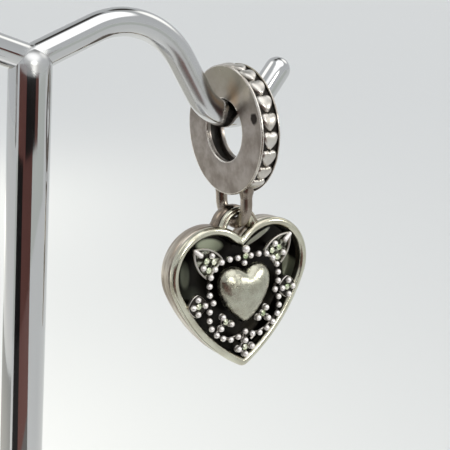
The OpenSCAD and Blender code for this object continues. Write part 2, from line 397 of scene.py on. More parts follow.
def rim_hearts():
    parts = Parts()
    strip = Parts()
    R = 5.0
    # the strip that carries the hearts
    a0, a1 = rad(-149), rad(149)
    k = 150
    sec = [(4.985, -0.68), (5.045, -0.68), (5.045, 0.68), (4.985, 0.68)]
    verts, faces = [], []
    for i in range(k + 1):
        a = a0 + (a1 - a0) * i / k
        for r, x in sec:
            verts.append((x, -r * math.sin(a), r * math.cos(a)))
    for i in range(k):
        for j in range(4):
            m = (j + 1) % 4
            faces.append((i * 4 + j, i * 4 + m, (i + 1) * 4 + m, (i + 1) * 4 + j))
    faces.append((0, 1, 2, 3))
    faces.append(tuple(k * 4 + j for j in (3, 2, 1, 0)))
    strip.add(moved(verts, HANG_X, 0, RING_Z), faces)
    out = small_heart_outline()
    pts, u, f = cushion(out, (0, 0.08), 9, 0.4)
    n = len(out)
    for i in range(18):
        a = rad(142.8 - i * 360 / 22)
        # local: pts x is along the bore, pts z along the rim; the tips point down on the -Y side
        def place(p, h):
            ang = a - p[:, 1] / 5.15
            r = R + h
            return np.stack([p[:, 0], -r * np.sin(ang), r * np.cos(ang)], 1)
        h = 0.11 + 0.23 * u
        top = place(pts, h)
        base = place(out * 1.0, np.full(n, 0.0))
        v = np.concatenate([top, base])
        m = len(top)
        ff = list(f)
        for q in range(n):
            w = (q + 1) % n
            ff.append((q, m + q, m + w, w))
        ff.append(tuple(m + q for q in range(n)))
        parts.add(moved(v, HANG_X, 0, RING_Z), ff)
    return parts.object("rim_heart_row", 50), strip.object("rim_heart_strip", 30)


# ------------------------------------------------------------------ heart case
LOBE_X, LOBE_R, SIDE_R, SIDE_A, TIP_R = 2.9, 3.54, 14.4, 22.7, 0.35
SIDE_CX = LOBE_X - (SIDE_R - LOBE_R) * math.cos(rad(SIDE_A))
SIDE_CZ = (SIDE_R - LOBE_R) * math.sin(rad(SIDE_A))
TIP_CZ = SIDE_CZ - math.sqrt((SIDE_R - TIP_R) ** 2 - SIDE_CX ** 2)
TIP_A = math.degrees(math.atan2(TIP_CZ - SIDE_CZ, -SIDE_CX))


def arc(c, r, a0, a1, n, last=False):
    k = np.arange(n + (1 if last else 0)) / n
    a = np.radians(a0 + (a1 - a0) * k)
    return np.stack([c[0] + r * np.cos(a), c[1] + r * np.sin(a)], 1)


def heart_ring(o):
    """Outline of the heart, o outside the middle line of the rim, always with the same number of points."""
    r = LOBE_R + o
    notch = 180 - math.degrees(math.acos(LOBE_X / r))
    rt = max(TIP_R + o, 0.03)
    half = np.concatenate([
        arc((LOBE_X, 0), r, notch, -SIDE_A, 44),
        arc((SIDE_CX, SIDE_CZ), SIDE_R + o, -SIDE_A, TIP_A, 30),
        arc((0, TIP_CZ), rt, TIP_A, -90, 6, True)])
    return np.concatenate([half, half[1:-1][::-1] * np.array([-1, 1])])


EYE_Z = 3.26         # middle of the eyelet above the lobes' centres
EYE_BORE_Z = 3.36    # middle of its hole
EYE_H = 0.98


def eyelet():
    """The eyelet: an arch over the notch whose two ends run into the lobes."""
    # the hole's wall from front to back, then the outside from back to front: (depth, radius)
    inner = [(-EYE_H, 1.43), (-0.965, 1.39), (-0.92, 1.33), (-0.82, 1.21), (-0.65, 1.08), (-0.45, 0.985), (-0.22, 0.92), (0, 0.9)]
    inner = inner + [(-y, r) for y, r in inner[-2::-1]]
    # a plain band at the back, a groove, and a raised ring with a dished face at the front
    outer = [(0.98, 1.56), (0.96, 1.66), (0.9, 1.74), (0.8, 1.82), (0.65, 1.88), (0.45, 1.92), (0.25, 1.92), (0.1, 1.9), (0, 1.86),
             (-0.1, 1.8), (-0.18, 1.71), (-0.25, 1.66), (-0.32, 1.66), (-0.38, 1.7), (-0.44, 1.79), (-0.52, 1.86), (-0.64, 1.89),
             (-0.76, 1.89), (-0.86, 1.87), (-0.93, 1.83), (-0.955, 1.785), (-0.935, 1.74), (-0.9, 1.7), (-0.895, 1.65), (-0.92, 1.6),
             (-0.965, 1.57), (-0.985, 1.53)]
    section = [(y, r, EYE_BORE_Z) for y, r in inner] + [(y, r, EYE_Z) for y, r in outer]

    def start(r, z0):
        """Angle at which a circle of radius r about (0, z0) runs into the right lobe."""
        for a in np.arange(30.0, -75.0, -0.25):
            x, z = r * math.cos(rad(a)), z0 + r * math.sin(rad(a))
            if math.hypot(x - LOBE_X, z) < 3.62:
                return a
        return -40.0

    a0 = [start(r, z0) for y, r, z0 in section]
    n = 72
    verts, rows = [], []
    for i in range(n + 1):
        t = i / n
        rows.append(list(range(len(verts), len(verts) + len(section))))
        # each end spreads a little, like solder
        e = min(t, 1 - t) * 2
        flare = 0.2 * max(0.0, 1 - e / 0.22) ** 2
        for (y, r, z0), a in zip(section, a0):
            b = rad(a + (180 - 2 * a) * t)
            rr = r + (flare if z0 == EYE_Z else -0.3 * flare)
            yy = y * (1 + 0.5 * flare)
            verts.append((rr * math.cos(b), yy, z0 + rr * math.sin(b)))
    faces = bridge(n + 1, len(section))
    faces.append(tuple(rows[0]))
    faces.append(tuple(rows[-1][::-1]))
    return make("eyelet", moved(verts, HANG_X - 0.06, 0, HEART_Z), faces, 42)


def heart_case():
    prof = [(0.0, 1.0, 0.0), (0.0, 1.0, 0.35), (0.0, 1.0, 0.7), (-0.25, 1.0, 1)]
    prof += [(-0.15 + 0.45 * math.sin(rad(a)), 0.55 + 0.45 * math.cos(rad(a)), 1) for a in range(15, 91, 15)]
    prof += [(0.305, 0.2, 1), (0.305, -0.15, 1), (0.29, -0.3, 1), (0.25, -0.4, 1), (0.17, -0.45, 1), (0.14, -0.49, 1), (0.17, -0.53, 1),
             (0.26, -0.58, 1), (0.32, -0.68, 1), (0.35, -0.82, 1)]
    prof += [(0.36 * math.cos(rad(a)), -0.91 - 0.36 * math.sin(rad(a)), 1) for a in range(10, 171, 16)]
    prof += [(-0.37, -0.8, 1), (-0.375, -0.5, 1), (-0.375, 0.1, 1), (-0.39, 0.3, 1), (-0.43, 0.4, 1), (-0.52, 0.45, 1),
             (-0.52, 0.45, 0.85), (-0.52, 0.45, 0.6), (-0.52, 0.45, 0.3), (-0.52, 0.45, 0.0)]
    centre = np.array([0, -1.6])
    rows, verts = [], []
    for o, y, s in prof:
        if s == 0:
            rows.append([len(verts)])
            verts.append((centre[0], y, centre[1]))
            continue
        base = heart_ring(-0.25 if (o == 0.0 and y == 1.0) else o)
        if o < 0 and y < 0.9:
            # solder fills the bottom of the V inside the notch
            up = base[:, 1] > 0
            base[up, 1] += 0.5 * min(1.0, -o / 0.36) * np.exp(-(base[up, 0] / 0.33) ** 2)
        p = centre + (base - centre) * s
        rows.append(list(range(len(verts), len(verts) + len(p))))
        verts.extend([(q[0], y, q[1]) for q in p])
    verts = np.array(verts)
    parts = Parts()
    parts.add(moved(verts, HANG_X, 0, HEART_Z), ring_faces(rows))
    case = parts.object("heart_tray", 60)
    return case, eyelet()


# ------------------------------------------------------------------ garland
FRAME = [(1.45, 1.07), (2.25, 0.95), (2.9, 0.48), (3.32, -0.14), (3.46, -0.87), (3.46, -1.63), (3.13, -2.34),
         (3.5, -3.05), (3.54, -3.8), (3.35, -4.53), (2.86, -5.18), (2.23, -5.6), (1.48, -5.86), (0.72, -5.78)]
SIDE = [(0.65, 1.06), (4.58, -1.8), (5.03, -2.4), (4.6, -3.03), (3.92, -2.4),
        (0.68, -6.9), (2.2, -3.77), (1.37, -4.52), (2.4, -4.73), (3.16, 1.66), (4.0, 0.76)]
MIDDLE = [(0, 0.54), (0, -5.44), (0, -6.23), (0, -7.45)]
STONES = [(4.48, -2.4), (1.9, -4.24), (3.62, 1.27), (2.92, 1.1), (3.45, 0.46)]
BEAD_Y = -1.4
BEAD_R = 0.26


def bar(p, q, r, y, n=12):
    """A thin round link between two points of the garland."""
    p, q = np.array([p[0], y, p[1]], float), np.array([q[0], y, q[1]], float)
    t = (q - p) / np.linalg.norm(q - p)
    return sweep([p, q], [t, t], (0, 1, 0), r, n, (0, 0))


def plate(outline, y0, y1, edge=0.04):
    """A flat plate over an outline (x, z), from y0 (front) to y1 (back), with its edges eased."""
    outline = np.asarray(outline, float)
    n = len(outline)
    c = outline.mean(0)

    def inset(d):
        t = np.roll(outline, -1, 0) - np.roll(outline, 1, 0)
        t /= np.linalg.norm(t, axis=1)[:, None] + 1e-12
        nrm = np.stack([t[:, 1], -t[:, 0]], 1)
        if ((outline - c) * nrm).sum() < 0:
            nrm = -nrm
        return outline - nrm * d

    rows = [(inset(edge), y0), (outline, y0 + edge), (outline, y1)]
    verts = [(p[0], y, p[1]) for o, y in rows for p in o]
    faces = bridge(3, n)
    faces.append(tuple(range(n - 1, -1, -1)))
    faces.append(tuple(2 * n + i for i in range(n)))
    return verts, faces


LEAF_TIP, LEAF_DIR = (4.8, 2.36), 224


def leaf_outline(o=0.0, n=26):
    """Pointed leaf between two arcs, seen from the front, tip at the corner."""
    r = 2.73 + o
    w = 1.61
    x0 = 2.2 - math.sqrt(r * r - w * w)
    pts = []
    for i in range(n + 1):
        x = x0 + (2.72 - x0) * (i / n) ** 1.4
        pts.append((x, math.sqrt(max(r * r - (x - 2.2) ** 2, 0)) - w))
    low = [(x, -y) for x, y in pts[::-1]]
    p = np.array(pts + low[:-1])
    a = rad(LEAF_DIR)
    return np.stack([LEAF_TIP[0] + p[:, 0] * math.cos(a) - p[:, 1] * math.sin(a),
                     LEAF_TIP[1] + p[:, 0] * math.sin(a) + p[:, 1] * math.cos(a)], 1)


def disc(x, z, r, n=24):
    a = 2 * math.pi * np.arange(n) / n
    return np.stack([x + r * np.cos(a), z + r * np.sin(a)], 1)


def garland():
    beads, web = Parts(), Parts()
    for s in (-1, 1):
        def m(p):
            return (s * p[0], p[1])
        for p in FRAME + SIDE:
            q = m(p)
            beads.add(*ball((q[0], BEAD_Y, q[1]), BEAD_R))
        # the bead at the leaf's corner is drawn out towards the corner
        for k in range(5):
            q = m((4.24 + 0.115 * k, 1.86 + 0.1 * k))
            beads.add(*ball((q[0], BEAD_Y, q[1]), 0.235 - 0.012 * k))
        for a, b in zip(FRAME, FRAME[1:]):
            web.add(*bar(m(a), m(b), 0.13, -1.17))
        for a, b in (((0.65, 1.06), FRAME[0]), (FRAME[6], (4.0, -2.4)), ((1.95, -4.34), (2.86, -5.18)), (FRAME[13], (0, -5.44)),
                     ((0.65, 1.06), (0, 0.8)), ((2.2, -3.77), (1.9, -4.24)), ((1.37, -4.52), (1.9, -4.24)), ((2.4, -4.73), (1.9, -4.24))):
            web.add(*bar(m(a), m(b), 0.12, -1.17))
        # flower plates
        flower = np.concatenate([
            bezier((4.55, -1.44), (4.95, -1.52), (5.4, -2.05), (5.4, -2.4), 12),
            bezier((5.4, -2.4), (5.4, -2.75), (4.95, -3.34), (4.56, -3.38), 12),
            bezier((4.56, -3.38), (4.2, -3.3), (3.66, -2.75), (3.6, -2.4), 12),
            bezier((3.6, -2.4), (3.66, -2.05), (4.2, -1.5), (4.55, -1.44), 12)])
        web.add(*plate([m(p) for p in flower], -1.27, -0.95))
        for x, z in ((2.2, -3.77), (1.37, -4.52), (2.4, -4.73)):
            web.add(*plate([m(p) for p in disc(x, z, 0.29)], -1.26, -1.06))
        web.add(*plate([m(p) for p in disc(1.95, -4.3, 0.36)], -1.265, -1.05))
        web.add(*plate([m(p) for p in disc(0.68, -6.9, 0.3)], -1.26, -1.06))
        # leaf: a thin plate with a raised border
        web.add(*plate([m(p) for p in leaf_outline(-0.03)], -1.25, -1.05, 0.03))
        line = leaf_outline(-0.05, 26)
        line = [m(p) for p in line]
        path = np.array([(p[0], -1.3, p[1]) for p in line])
        n = len(path)
        nxt, prv = np.roll(path, -1, 0), np.roll(path, 1, 0)
        tan = nxt - prv
        tan /= np.linalg.norm(tan, axis=1)[:, None]
        v, rr = [], []
        k = 10
        for c, t in zip(path, tan):
            up = np.cross((0, 1, 0), t)
            rr.append(list(range(len(v), len(v) + k)))
            for i in range(k):
                a = 2 * math.pi * i / k
                v.append(c + 0.095 * (math.cos(a) * up + math.sin(a) * np.array([0, 1.3, 0])))
        web.add(v, ring_faces(rr, True))
    for p in MIDDLE:
        beads.add(*ball((p[0], BEAD_Y, p[1]), BEAD_R))
    beads.add(*ball((0, -1.66, 1.76), 0.34))
    for x, z, r in ((0, 0.85, 0.42), (0, -6.85, 0.42), (0, -6.23, 0.3), (0, -7.45, 0.3)):
        web.add(*plate(disc(x, z, r), -1.26, -1.05))
    web.add(*bar((0, -5.44), (0, -7.4), 0.13, -1.17))
    web.add(*bar((0, 0.9), (0, 1.75), 0.14, -1.35))
    # one small slanting link, on the right only
    web.add(*bar((0.56, -6.22), (0.98, -5.9), 0.12, -1.37))
    # pegs that carry the garland on the tray's floor
    for x, z in ((4.48, -2.4), (-4.48, -2.4), (3.5, 1.1), (-3.5, 1.1), (0, -6.5)):
        v, f = sweep([(x, -1.1, z), (x, 0.42, z)], [(0, 1, 0), (0, 1, 0)], (1, 0, 0), 0.2, 16, (0, 0))
        web.add(v, f)
    for q in (beads, web):
        q.v = [tuple(p) for p in moved(q.v, HANG_X, 0, HEART_Z)]
    return beads.object("garland_beads", 60), web.object("garland_web", 40)


def stones():
    parts = Parts()
    seats = Parts()
    spots = [(s * x, z, -1.3) for x, z in STONES for s in (-1, 1)] + [(0, 1.18, -1.57), (0, -6.85, -1.3)]
    for x, z, y in spots:
        n = 8
        prof = [(0, 0.0), (0.2, 0.0), (0.27, 0.04), (0.27, 0.07), (0.12, 0.21), (0, 0.21)]
        v, rings = lathe([(r, h) for r, h in prof], n)
        # a round brilliant seen from above: the table is turned half a facet from the girdle
        v[rings[4], :2] = v[rings[4], :2] @ np.array([[math.cos(rad(22.5)), math.sin(rad(22.5))], [-math.sin(rad(22.5)), math.cos(rad(22.5))]])
        f = []
        for a, b in zip(rings, rings[1:]):
            for i in range(n):
                j = (i + 1) % n
                if len(a) == 1:
                    f.append((a[0], b[j], b[i]))
                elif len(b) == 1:
                    f.append((a[i], a[j], b[0]))
                else:
                    f.append((a[i], a[j], b[j]))
                    f.append((a[i], b[j], b[i]))
        w = about_y(v)
        w[:, 1] = -w[:, 1]
        parts.add(moved(w, HANG_X + x, y, HEART_Z + z), f)
    ob = parts.object("clear_stones_cut", 5)
    return ob


# ------------------------------------------------------------------ centre heart
def centre_heart():
    right = np.concatenate([
        bezier((0, -0.24), (0.12, -0.04), (0.62, 0.32), (1.3, 0.32), 24),
        bezier((1.3, 0.32), (2.1, 0.32), (2.6, -0.3), (2.6, -1.1), 30),
        bezier((2.6, -1.1), (2.6, -2.2), (1.75, -3.4), (0.55, -4.44), 40),
        bezier((0.55, -4.44), (0.34, -4.62), (0.18, -4.76), (0, -4.76), 6)])
    left = right[::-1] * np.array([-1, 1])
    out = resample(np.concatenate([right, left[:-1]]), 120)
    pts, u, f = cushion(out, (0, -1.35), 22, 0.5)
    n = len(out)
    H = 1.14
    y = -1.08 - H * u
    top = np.stack([pts[:, 0], y, pts[:, 1]], 1)
    verts = [top]
    rows = [(1.0, -1.02), (0.985, -0.97), (0.95, -0.95)]
    for s, yy in rows:
        c = np.array([0, -1.6])
        p = c + (out - c) * s
        verts.append(np.stack([p[:, 0], np.full(n, yy), p[:, 1]], 1))
    v = np.concatenate(verts)
    faces = list(f)
    m = len(top)
    prev = list(range(n))
    for k in range(3):
        cur = [m + k * n + i for i in range(n)]
        for i in range(n):
            j = (i + 1) % n
            faces.append((prev[i], cur[i], cur[j], prev[j]))
        prev = cur
    faces.append(tuple(prev))
    parts = Parts()
    parts.add(moved(v, HANG_X + 0.1, 0, HEART_Z), faces)
    w, g = sweep([(0, -1.0, -1.6), (0, 0.42, -1.6)], [(0, 1, 0), (0, 1, 0)], (1, 0, 0), 0.7, 24, (0, 0))
    parts.add(moved(w, HANG_X, 0, HEART_Z), g)
    return parts.object("puffed_heart", 55)


# ------------------------------------------------------------------ materials
def material(name):
    mat = bpy.data.materials.new(name)
    mat.use_nodes = True
    nt = mat.node_tree
    bsdf = nt.nodes["Principled BSDF"]
    return mat, nt, bsdf


def noise(nt, scale, detail=4, rough=0.55, grain=None, distort=0.0):
    """Noise over the object's own coordinates; grain stretches it along an axis with a small factor."""
    tc = nt.nodes.new("ShaderNodeTexCoord")
    n = nt.nodes.new("ShaderNodeTexNoise")
    n.inputs["Scale"].default_value = scale
    n.inputs["Detail"].default_value = detail
    n.inputs["Roughness"].default_value = rough
    n.inputs["Distortion"].default_value = distort
    vec = tc.outputs["Object"]
    if grain:
        mul = nt.nodes.new("ShaderNodeVectorMath")
        mul.operation = "MULTIPLY"
        mul.inputs[1].default_value = grain
        nt.links.new(vec, mul.inputs[0])
        vec = mul.outputs[0]
    nt.links.new(vec, n.inputs["Vector"])
    return n


def ramp(nt, src, stops):
    r = nt.nodes.new("ShaderNodeValToRGB")
    while len(r.color_ramp.elements) < len(stops):
        r.color_ramp.elements.new(0.5)
    for e, (p, c) in zip(r.color_ramp.elements, stops):
        e.position = p
        e.color = (*c, 1) if len(c) == 3 else c
    nt.links.new(src, r.inputs["Fac"])
    return r


def bump(nt, src, strength, distance):
    b = nt.nodes.new("ShaderNodeBump")
    b.inputs["Strength"].default_value = strength
    b.inputs["Distance"].default_value = distance
    nt.links.new(src, b.inputs["Height"])
    return b


def mix(nt, fac, a, b):
    m = nt.nodes.new("ShaderNodeMix")
    m.data_type = "RGBA"
    if hasattr(fac, "is_output"):
        nt.links.new(fac, m.inputs["Factor"])
    else:
        m.inputs["Factor"].default_value = fac
    for sock, val in (("A", a), ("B", b)):
        s = [i for i in m.inputs if i.name == sock and i.type == "RGBA"][0]
        if hasattr(val, "is_output"):
            nt.links.new(val, s)
        else:
            s.default_value = (*val, 1)
    return [o for o in m.outputs if o.type == "RGBA"][0]


def spot(nt, centre, radii, soft=0.35, wobble=0.0, spin=0.0):
    """1 inside a soft ellipsoid about a point in mm, 0 outside."""
    tc = nt.nodes.new("ShaderNodeTexCoord")
    sub = nt.nodes.new("ShaderNodeVectorMath")
    sub.operation = "SUBTRACT"
    sub.inputs[1].default_value = tuple(c * 0.001 for c in centre)
    nt.links.new(tc.outputs["Object"], sub.inputs[0])
    turned = sub.outputs[0]
    if spin:
        rot = nt.nodes.new("ShaderNodeVectorRotate")
        rot.rotation_type = "Y_AXIS"
        rot.inputs["Angle"].default_value = rad(spin)
        nt.links.new(turned, rot.inputs["Vector"])
        turned = rot.outputs["Vector"]
    mul = nt.nodes.new("ShaderNodeVectorMath")
    mul.operation = "MULTIPLY"
    mul.inputs[1].default_value = tuple(1000.0 / r for r in radii)
    nt.links.new(turned, mul.inputs[0])
    ln = nt.nodes.new("ShaderNodeVectorMath")
    ln.operation = "LENGTH"
    nt.links.new(mul.outputs[0], ln.inputs[0])
    value = ln.outputs["Value"]
    if wobble:
        n = noise(nt, 3000, 2)
        add = nt.nodes.new("ShaderNodeMath")
        add.operation = "MULTIPLY_ADD"
        add.inputs[1].default_value = wobble
        nt.links.new(n.outputs["Fac"], add.inputs[0])
        nt.links.new(value, add.inputs[2])
        value = add.outputs[0]
    mr = nt.nodes.new("ShaderNodeMapRange")
    mr.inputs["From Min"].default_value = 1 + soft
    mr.inputs["From Max"].default_value = 1 - soft
    nt.links.new(value, mr.inputs["Value"])
    return mr.outputs["Result"]


def silver(name, light, dark, rough, tarnish=(0.35, 0.65), scale=350, bumpy=0.12, ao=0.0, ao_dist=0.3, spots=(), grain=None):
    mat, nt, b = material(name)
    b.inputs["Metallic"].default_value = 1.0
    n = noise(nt, scale, 5, 0.6, grain)
    r = ramp(nt, n.outputs["Fac"], [(tarnish[0], dark), (tarnish[1], light)])
    colour = r.outputs["Color"]
    # painted shade: with ao set, the colour darkens towards near black where nearby surfaces hem the point in
    if ao:
        a = nt.nodes.new("ShaderNodeAmbientOcclusion")
        a.samples = 8
        a.inputs["Distance"].default_value = ao_dist * 0.001
        rr = ramp(nt, a.outputs["AO"], [(0.25, (0, 0, 0)), (0.8, (1, 1, 1))])
        colour = mix(nt, rr.outputs["Color"], (0.035, 0.03, 0.028), colour)
    for centre, radii, soft, wob, col in spots:
        colour = mix(nt, spot(nt, centre, radii, soft, wob), colour, col)
    nt.links.new(colour, b.inputs["Base Color"])
    n2 = noise(nt, scale * 2.3, 3, 0.5)
    rr = nt.nodes.new("ShaderNodeMapRange")
    rr.inputs["To Min"].default_value = max(rough - 0.07, 0.02)
    rr.inputs["To Max"].default_value = rough + 0.09
    nt.links.new(n2.outputs["Fac"], rr.inputs["Value"])
    nt.links.new(rr.outputs["Result"], b.inputs["Roughness"])
    if bumpy:
        n3 = noise(nt, scale * 1.6, 4, 0.5)
        bp = bump(nt, n3.outputs["Fac"], bumpy, 0.0001)
        nt.links.new(bp.outputs["Normal"], b.inputs["Normal"])
    return mat


def at_heart(x, z, y=0.45):
    return (HANG_X + x, y, HEART_Z + z)


chrome, nt, b = material("stand_chrome")
b.inputs["Metallic"].default_value = 1.0
b.inputs["Base Color"].default_value = (0.63, 0.63, 0.63, 1)
n = noise(nt, 120, 3)
mr = nt.nodes.new("ShaderNodeMapRange")
mr.inputs["To Min"].default_value = 0.03
mr.inputs["To Max"].default_value = 0.1
nt.links.new(n.outputs["Fac"], mr.inputs["Value"])
rub = spot(nt, (TOP_X + 11.6, 0, 52.0), (4.2, 3.0, 5.0), 0.35)
weld = spot(nt, (TOP_X, -1.1, JUNCTION_Z), (1.1, 1.4, 1.0), 0.3)
nt.links.new(mix(nt, weld, mix(nt, rub, mr.outputs["Result"], (0.24, 0.24, 0.24)), (0.34, 0.34, 0.34)), b.inputs["Roughness"])

ring_mat = silver("ring_silver", (0.335, 0.3, 0.275), (0.205, 0.175, 0.153), 0.3, (0.38, 0.62), scale=620, spots=[
    # painted reflection: the ring's upper part is tinted olive where it reflects darker surroundings
    ((HANG_X, -1.5, RING_Z + 6.2), (3, 5, 3.2), 0.6, 0.0, (0.36, 0.33, 0.26)),
    ((HANG_X - 0.9, -4.2, RING_Z + 1.35), (0.5, 0.55, 0.6), 0.15, 0.5, (0.02, 0.014, 0.012)),
    ((HANG_X - 0.9, -1.4, RING_Z + 2.9), (0.5, 0.7, 1.0), 0.7, 0.3, (0.36, 0.26, 0.17))])
edge_silver = silver("worn_silver", (0.82, 0.79, 0.74), (0.5, 0.45, 0.39), 0.26, scale=700)
leaf_mat = silver("specked_silver", (0.6, 0.6, 0.5), (0.025, 0.022, 0.017), 0.24, (0.48, 0.66), scale=2400, bumpy=0.4)
case_mat = silver("case_silver", (0.7, 0.69, 0.57), (0.52, 0.49, 0.39), 0.2, scale=420)
wall_mat = silver("tarnished_silver", (0.72, 0.67, 0.585), (0.28, 0.21, 0.155), 0.3, (0.36, 0.6), scale=1400, grain=(0.16, 1, 0.16),
                  spots=[((HANG_X - 3.4, 0.6, HEART_Z + 4.6), (2.6, 1.1, 1.6), 0.7, 0.3, (0.3, 0.22, 0.17))])
back_mat = silver("back_silver", (0.58, 0.53, 0.455), (0.42, 0.35, 0.285), 0.3, (0.32, 0.66), scale=480)
loop_mat = silver("loop_silver", (0.38, 0.33, 0.28), (0.19, 0.15, 0.12), 0.27, (0.3, 0.6), scale=420)
band_mat = silver("brown_silver", (0.36, 0.3, 0.245), (0.13, 0.095, 0.07), 0.22, (0.36, 0.6), scale=700)
bright_mat = silver("bright_silver", (0.72, 0.69, 0.65), (0.54, 0.5, 0.45), 0.3, scale=600)
bead_mat = silver("bead_silver", (0.97, 0.94, 0.92), (0.84, 0.8, 0.77), 0.46, scale=900)
heart_mat = silver("satin_silver", (0.52, 0.52, 0.425), (0.4, 0.38, 0.31), 0.27, scale=1500, bumpy=0.4)

dark_mat, nt, b = material("oxidised_silver")
b.inputs["Metallic"].default_value = 0.6
n = noise(nt, 700, 4)
r = ramp(nt, n.outputs["Fac"], [(0.35, (0.012, 0.01, 0.008)), (0.7, (0.03, 0.024, 0.018))])
nt.links.new(r.outputs["Color"], b.inputs["Base Color"])
b.inputs["Roughness"].default_value = 0.4

# the tray's floor: glossy black oxide, with a few pale patches of painted reflection on it (x, z, half width, half
# height, tilt, softness, shade)
recess_mat, nt, b = material("oxidised_tray_painted_reflections")
PAINTED_REFLECTIONS = [(-2.2, 1.95, 1.25, 0.56, -10, 0.16, 0.48), (2.7, 1.97, 1.3, 0.22, 25, 0.15, 1.1), (5.75, -1.2, 0.42, 1.15, 0, 0.15, 0.3),
           (-4.65, -0.2, 0.42, 1.15, 0, 0.2, 0.13), (-4.4, -2.0, 0.8, 0.6, 0, 0.6, 0.06)]
n = noise(nt, 500, 4)
r = ramp(nt, n.outputs["Fac"], [(0.35, (0.006, 0.005, 0.004)), (0.75, (0.016, 0.013, 0.009))])
colour = r.outputs["Color"]
# painted reflections: each patch lightens the oxide's colour inside a soft ellipse
for x, z, rx, rz, tilt, soft, shade in PAINTED_REFLECTIONS:
    colour = mix(nt, spot(nt, at_heart(x, z), (rx, 2.0, rz), soft, 0.0, tilt), colour, (min(shade * 0.97, 1), min(shade * 1.03, 1), shade * 0.76))
nt.links.new(colour, b.inputs["Base Color"])
b.inputs["Metallic"].default_value = 0.75
b.inputs["Roughness"].default_value = 0.3

stone_mat, nt, b = material("clear_stone")
n = noise(nt, 1500, 2)
r = ramp(nt, n.outputs["Fac"], [(0.35, (0.42, 0.52, 0.3)), (0.65, (1.0, 1.0, 0.82))])
nt.links.new(r.outputs["Color"], b.inputs["Base Color"])
b.inputs["Roughness"].default_value = 0.05
b.inputs["IOR"].default_value = 1.9
b.inputs["Metallic"].default_value = 0.7
b.inputs["Transmission Weight"].default_value = 0.2


def paint(ob, *mats, pick=None):
    for m in mats:
        ob.data.materials.append(m)
    if pick:
        for p in ob.data.polygons:
            p.material_index = pick(p)


# ------------------------------------------------------------------ build
frame_ob = stand_frame()
paint(frame_ob, chrome)
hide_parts("stand_frame")
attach(frame_ob, "root")

foot_ob = stand_foot()
paint(foot_ob, chrome)
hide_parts("stand_foot")
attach(foot_ob, "root")

ring_ob = carrier_ring()


def ring_pick(p):
    c = p.center * 1000
    r = math.hypot(c.y, c.z - RING_Z)
    x = abs(c.x - HANG_X)
    if c.z < RING_Z - 4.3 and math.hypot(x, abs(c.y) - LOOP_R) < 0.66 or c.z < RING_Z - 5.4:
        return 2
    if 2.55 < r < 3.0 and x < 0.47:
        return 1
    if 4.9 < r < 5.13 and x < 0.715:
        return 1
    if r > 5.12 and x > 0.74 or 2.5 < r < 2.62 and x > 0.74:
        return 3
    return 0


paint(ring_ob, ring_mat, dark_mat, loop_mat, edge_silver, pick=ring_pick)
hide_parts("carrier_ring")
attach(ring_ob, "root")

row_ob, strip_ob = rim_hearts()
paint(row_ob, bright_mat)
paint(strip_ob, dark_mat)
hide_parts("rim_hearts")
for o in (row_ob, strip_ob):
    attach(o, "root")

case_ob, eye_ob = heart_case()


def case_pick(p):
    c = p.center * 1000
    y = c.y
    n = p.normal
    if n.y > 0.6:
        return 4
    if 0.3 < y < 0.5 and n.y < -0.3:
        return 1
    if -0.5 < y < 0.4:
        # inside wall or outside wall
        x, z = c.x - HANG_X, c.z - HEART_Z
        if (n.x * x + n.z * (z + 1.6)) < 0 and y > -0.42:
            return 1
    if -0.54 < y < -0.44:
        return 2
    return 3 if y > -0.44 else 0


def eye_pick(p):
    c = p.center * 1000
    r = math.hypot(c.x - HANG_X + 0.06, c.z - HEART_Z - EYE_Z)
    if c.y < -0.42:
        return 1 if c.y < -0.89 and 1.6 < r < 1.74 else 0
    return 2 if c.y < -0.15 and r > 1.5 else 1


paint(case_ob, case_mat, recess_mat, dark_mat, wall_mat, back_mat, pick=case_pick)
paint(eye_ob, case_mat, band_mat, dark_mat, pick=eye_pick)
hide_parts("heart_case")
for o in (case_ob, eye_ob):
    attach(o, "pendant")

bead_ob, web_ob = garland()
paint(bead_ob, bead_mat)


def web_pick(p):
    """Bright only on the plates' side walls and the leaves' raised borders; the rest is oxidised."""
    c = p.center * 1000
    x, z = abs(c.x - HANG_X), c.z - HEART_Z
    if c.y < -1.2 and p.normal.y < -0.8 and c.y > -1.3:
        return 2 if x > 2.0 and z > 0.1 else 1
    if c.y > -0.96:
        return 1
    if x < 3.75 and z > -5.9 and not (x > 2.0 and z > 0.1) and not (1.0 < x < 2.8 and z < -3.4):
        return 1
    return 0


paint(web_ob, bright_mat, dark_mat, leaf_mat, pick=web_pick)
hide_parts("bead_garland")
for o in (bead_ob, web_ob):
    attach(o, "pendant")

stone_ob = stones()
paint(stone_ob, stone_mat)
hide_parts("clear_stones")
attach(stone_ob, "pendant")

puff_ob = centre_heart()
paint(puff_ob, heart_mat)
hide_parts("centre_heart")
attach(puff_ob, "pendant")

# ------------------------------------------------------------------ stage, light and camera
scene = bpy.context.scene
scene.view_settings.view_transform = "Standard"

me = bpy.data.meshes.new("floor")
s = 6.0
me.from_pydata([(-s, -s, 0), (s, -s, 0), (s, s, 0), (-s, s, 0)], [], [(0, 1, 2, 3)])
floor = bpy.data.objects.new("floor", me)
scene.collection.objects.link(floor)
floor_mat, nt, b = material("pale_floor")
b.inputs["Roughness"].default_value = 0.9
b.inputs["Base Color"].default_value = (0.692, 0.703, 0.712, 1)
floor.data.materials.append(floor_mat)

